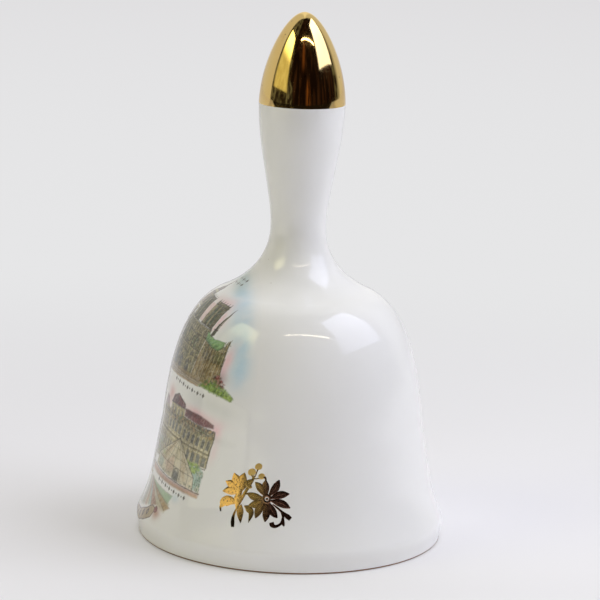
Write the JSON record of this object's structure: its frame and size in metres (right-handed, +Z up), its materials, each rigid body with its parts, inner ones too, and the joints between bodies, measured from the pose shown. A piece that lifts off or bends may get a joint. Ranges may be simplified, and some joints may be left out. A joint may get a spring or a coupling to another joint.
{
  "type": "porcelain hand bell",
  "caption": "Glazed porcelain hand bell with a turned handle, gilded finial and rim, fired decoration, and a ball clapper hung on a brass chain.",
  "frame": {"origin": "centre of the mouth, on the plane that the bell rests on", "axes": "+Z up along the bell's axis to the finial; -Y towards the gilt flower spray; -X towards the printed view"},
  "size_m": [0.0782, 0.0782, 0.1333],
  "materials": {
    "porcelain": "glossy clear glaze over white porcelain",
    "bright_gold": "mirror-bright fired gold",
    "fired_print": "printed enamel colours fused into the glaze",
    "brass_wire": "drawn wire, slightly tarnished",
    "plaster": "matt, unglazed",
    "clapper_porcelain": "glossy white glaze"
  },
  "bodies": {
    "bell": {"bell_body": "porcelain", "finial_gilding": "bright_gold", "rim_gilding": "bright_gold", "flower_gilding": "bright_gold", "view_transfer": "fired_print", "throat_plug": "plaster", "pin_washer": "brass_wire", "eye_pin": "brass_wire"},
    "link_1": {"chain_link_1": "brass_wire"},
    "link_2": {"chain_link_2": "brass_wire"},
    "link_3": {"chain_link_3": "brass_wire"},
    "link_4": {"chain_link_4": "brass_wire"},
    "link_5": {"chain_link_5": "brass_wire"},
    "link_6": {"chain_link_6": "brass_wire"},
    "clapper": {"clapper_wire": "brass_wire", "stop_washer": "brass_wire"},
    "ball": {"clapper_ball": "clapper_porcelain"}
  },
  "joints": [
    {"name": "link_1_swing", "type": "hinge", "parent": "bell", "child": "link_1", "pos_m": [0, 0, 0.0627], "axis": [1, 0, 0], "range_deg": [-30, 30]},
    {"name": "link_2_swing", "type": "hinge", "parent": "link_1", "child": "link_2", "pos_m": [0, 0, 0.0571], "axis": [0, 1, 0], "range_deg": [-34, 34]},
    {"name": "link_3_swing", "type": "hinge", "parent": "link_2", "child": "link_3", "pos_m": [0, 0, 0.0515], "axis": [-1, 0, 0], "range_deg": [-40, 40]},
    {"name": "link_4_swing", "type": "hinge", "parent": "link_3", "child": "link_4", "pos_m": [0, 0, 0.0459], "axis": [0, -1, 0], "range_deg": [-50, 50]},
    {"name": "link_5_swing", "type": "hinge", "parent": "link_4", "child": "link_5", "pos_m": [0, 0, 0.0403], "axis": [1, 0, 0], "range_deg": [-55, 55]},
    {"name": "link_6_swing", "type": "hinge", "parent": "link_5", "child": "link_6", "pos_m": [0, 0, 0.0347], "axis": [0, 1, 0], "range_deg": [-55, 55]},
    {"name": "clapper_swing", "type": "hinge", "parent": "link_6", "child": "clapper", "pos_m": [0, 0, 0.0291], "axis": [-1, 0, 0], "range_deg": [-55, 55]},
    {"name": "ball_turn", "type": "hinge", "parent": "clapper", "child": "ball", "pos_m": [0, 0, 0.017], "axis": [0, 0, 1], "continuous": true}
  ]
}
